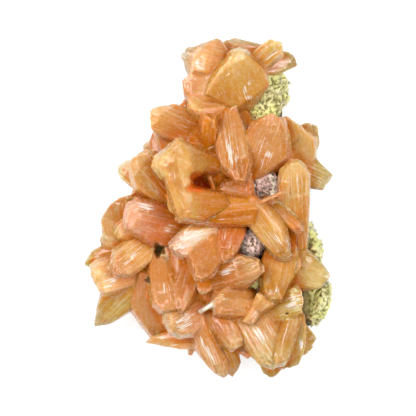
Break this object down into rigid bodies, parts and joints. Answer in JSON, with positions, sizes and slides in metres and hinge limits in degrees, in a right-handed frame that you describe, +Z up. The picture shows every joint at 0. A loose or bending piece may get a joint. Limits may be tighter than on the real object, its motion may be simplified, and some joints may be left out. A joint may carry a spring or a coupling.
{
  "type": "stilbite with mordenite on matrix",
  "caption": "Mineral specimen: sheaves of bladed orange stilbite crystals grown over a slab of rock with crusts of mordenite needles, cut off flat underneath.",
  "frame": {"origin": "on the flat cut under the rock, below the middle of the specimen's bounding box", "axes": "+X to the right and +Y towards the crest, as the specimen is seen from above; +Z up, out of the flat cut"},
  "size_m": [0.0889, 0.1197, 0.0516],
  "materials": {
    "stilbite_peach": "waxy, translucent, lengthwise striations",
    "stilbite_golden": "waxy, translucent, lengthwise striations",
    "stilbite_pink": "waxy, translucent, lengthwise striations",
    "stilbite_orange": "waxy, translucent, lengthwise striations",
    "mordenite_cream": "matt mat of fine needles",
    "mordenite_pink": "matt mat of fine needles",
    "mordenite_olive": "matt mat of fine needles",
    "rock": "rough, matt"
  },
  "bodies": {
    "root": {"stilbite_arch": "stilbite_golden", "stilbite_crossbar": "stilbite_orange", "stilbite_centre_fan": "stilbite_pink", "stilbite_upper_middle": "stilbite_peach", "stilbite_crest": "stilbite_pink", "stilbite_upper_left": "stilbite_peach", "stilbite_left_blade": "stilbite_orange", "stilbite_left_middle": "stilbite_pink", "stilbite_left_spray": "stilbite_peach", "stilbite_lower_left": "stilbite_peach", "stilbite_bottom": "stilbite_orange", "stilbite_middle": "stilbite_pink", "stilbite_lower_right": "stilbite_golden", "stilbite_right_pair": "stilbite_golden", "stilbite_right_tall": "stilbite_orange", "stilbite_upper_right": "stilbite_golden", "mordenite_upper_right": "mordenite_cream", "mordenite_centre_right": "mordenite_pink", "mordenite_centre": "mordenite_pink", "mordenite_right_edge": "mordenite_cream", "mordenite_lower_right": "mordenite_cream", "mordenite_lower_middle": "mordenite_olive", "matrix_rock": "rock"}
  },
  "joints": []
}
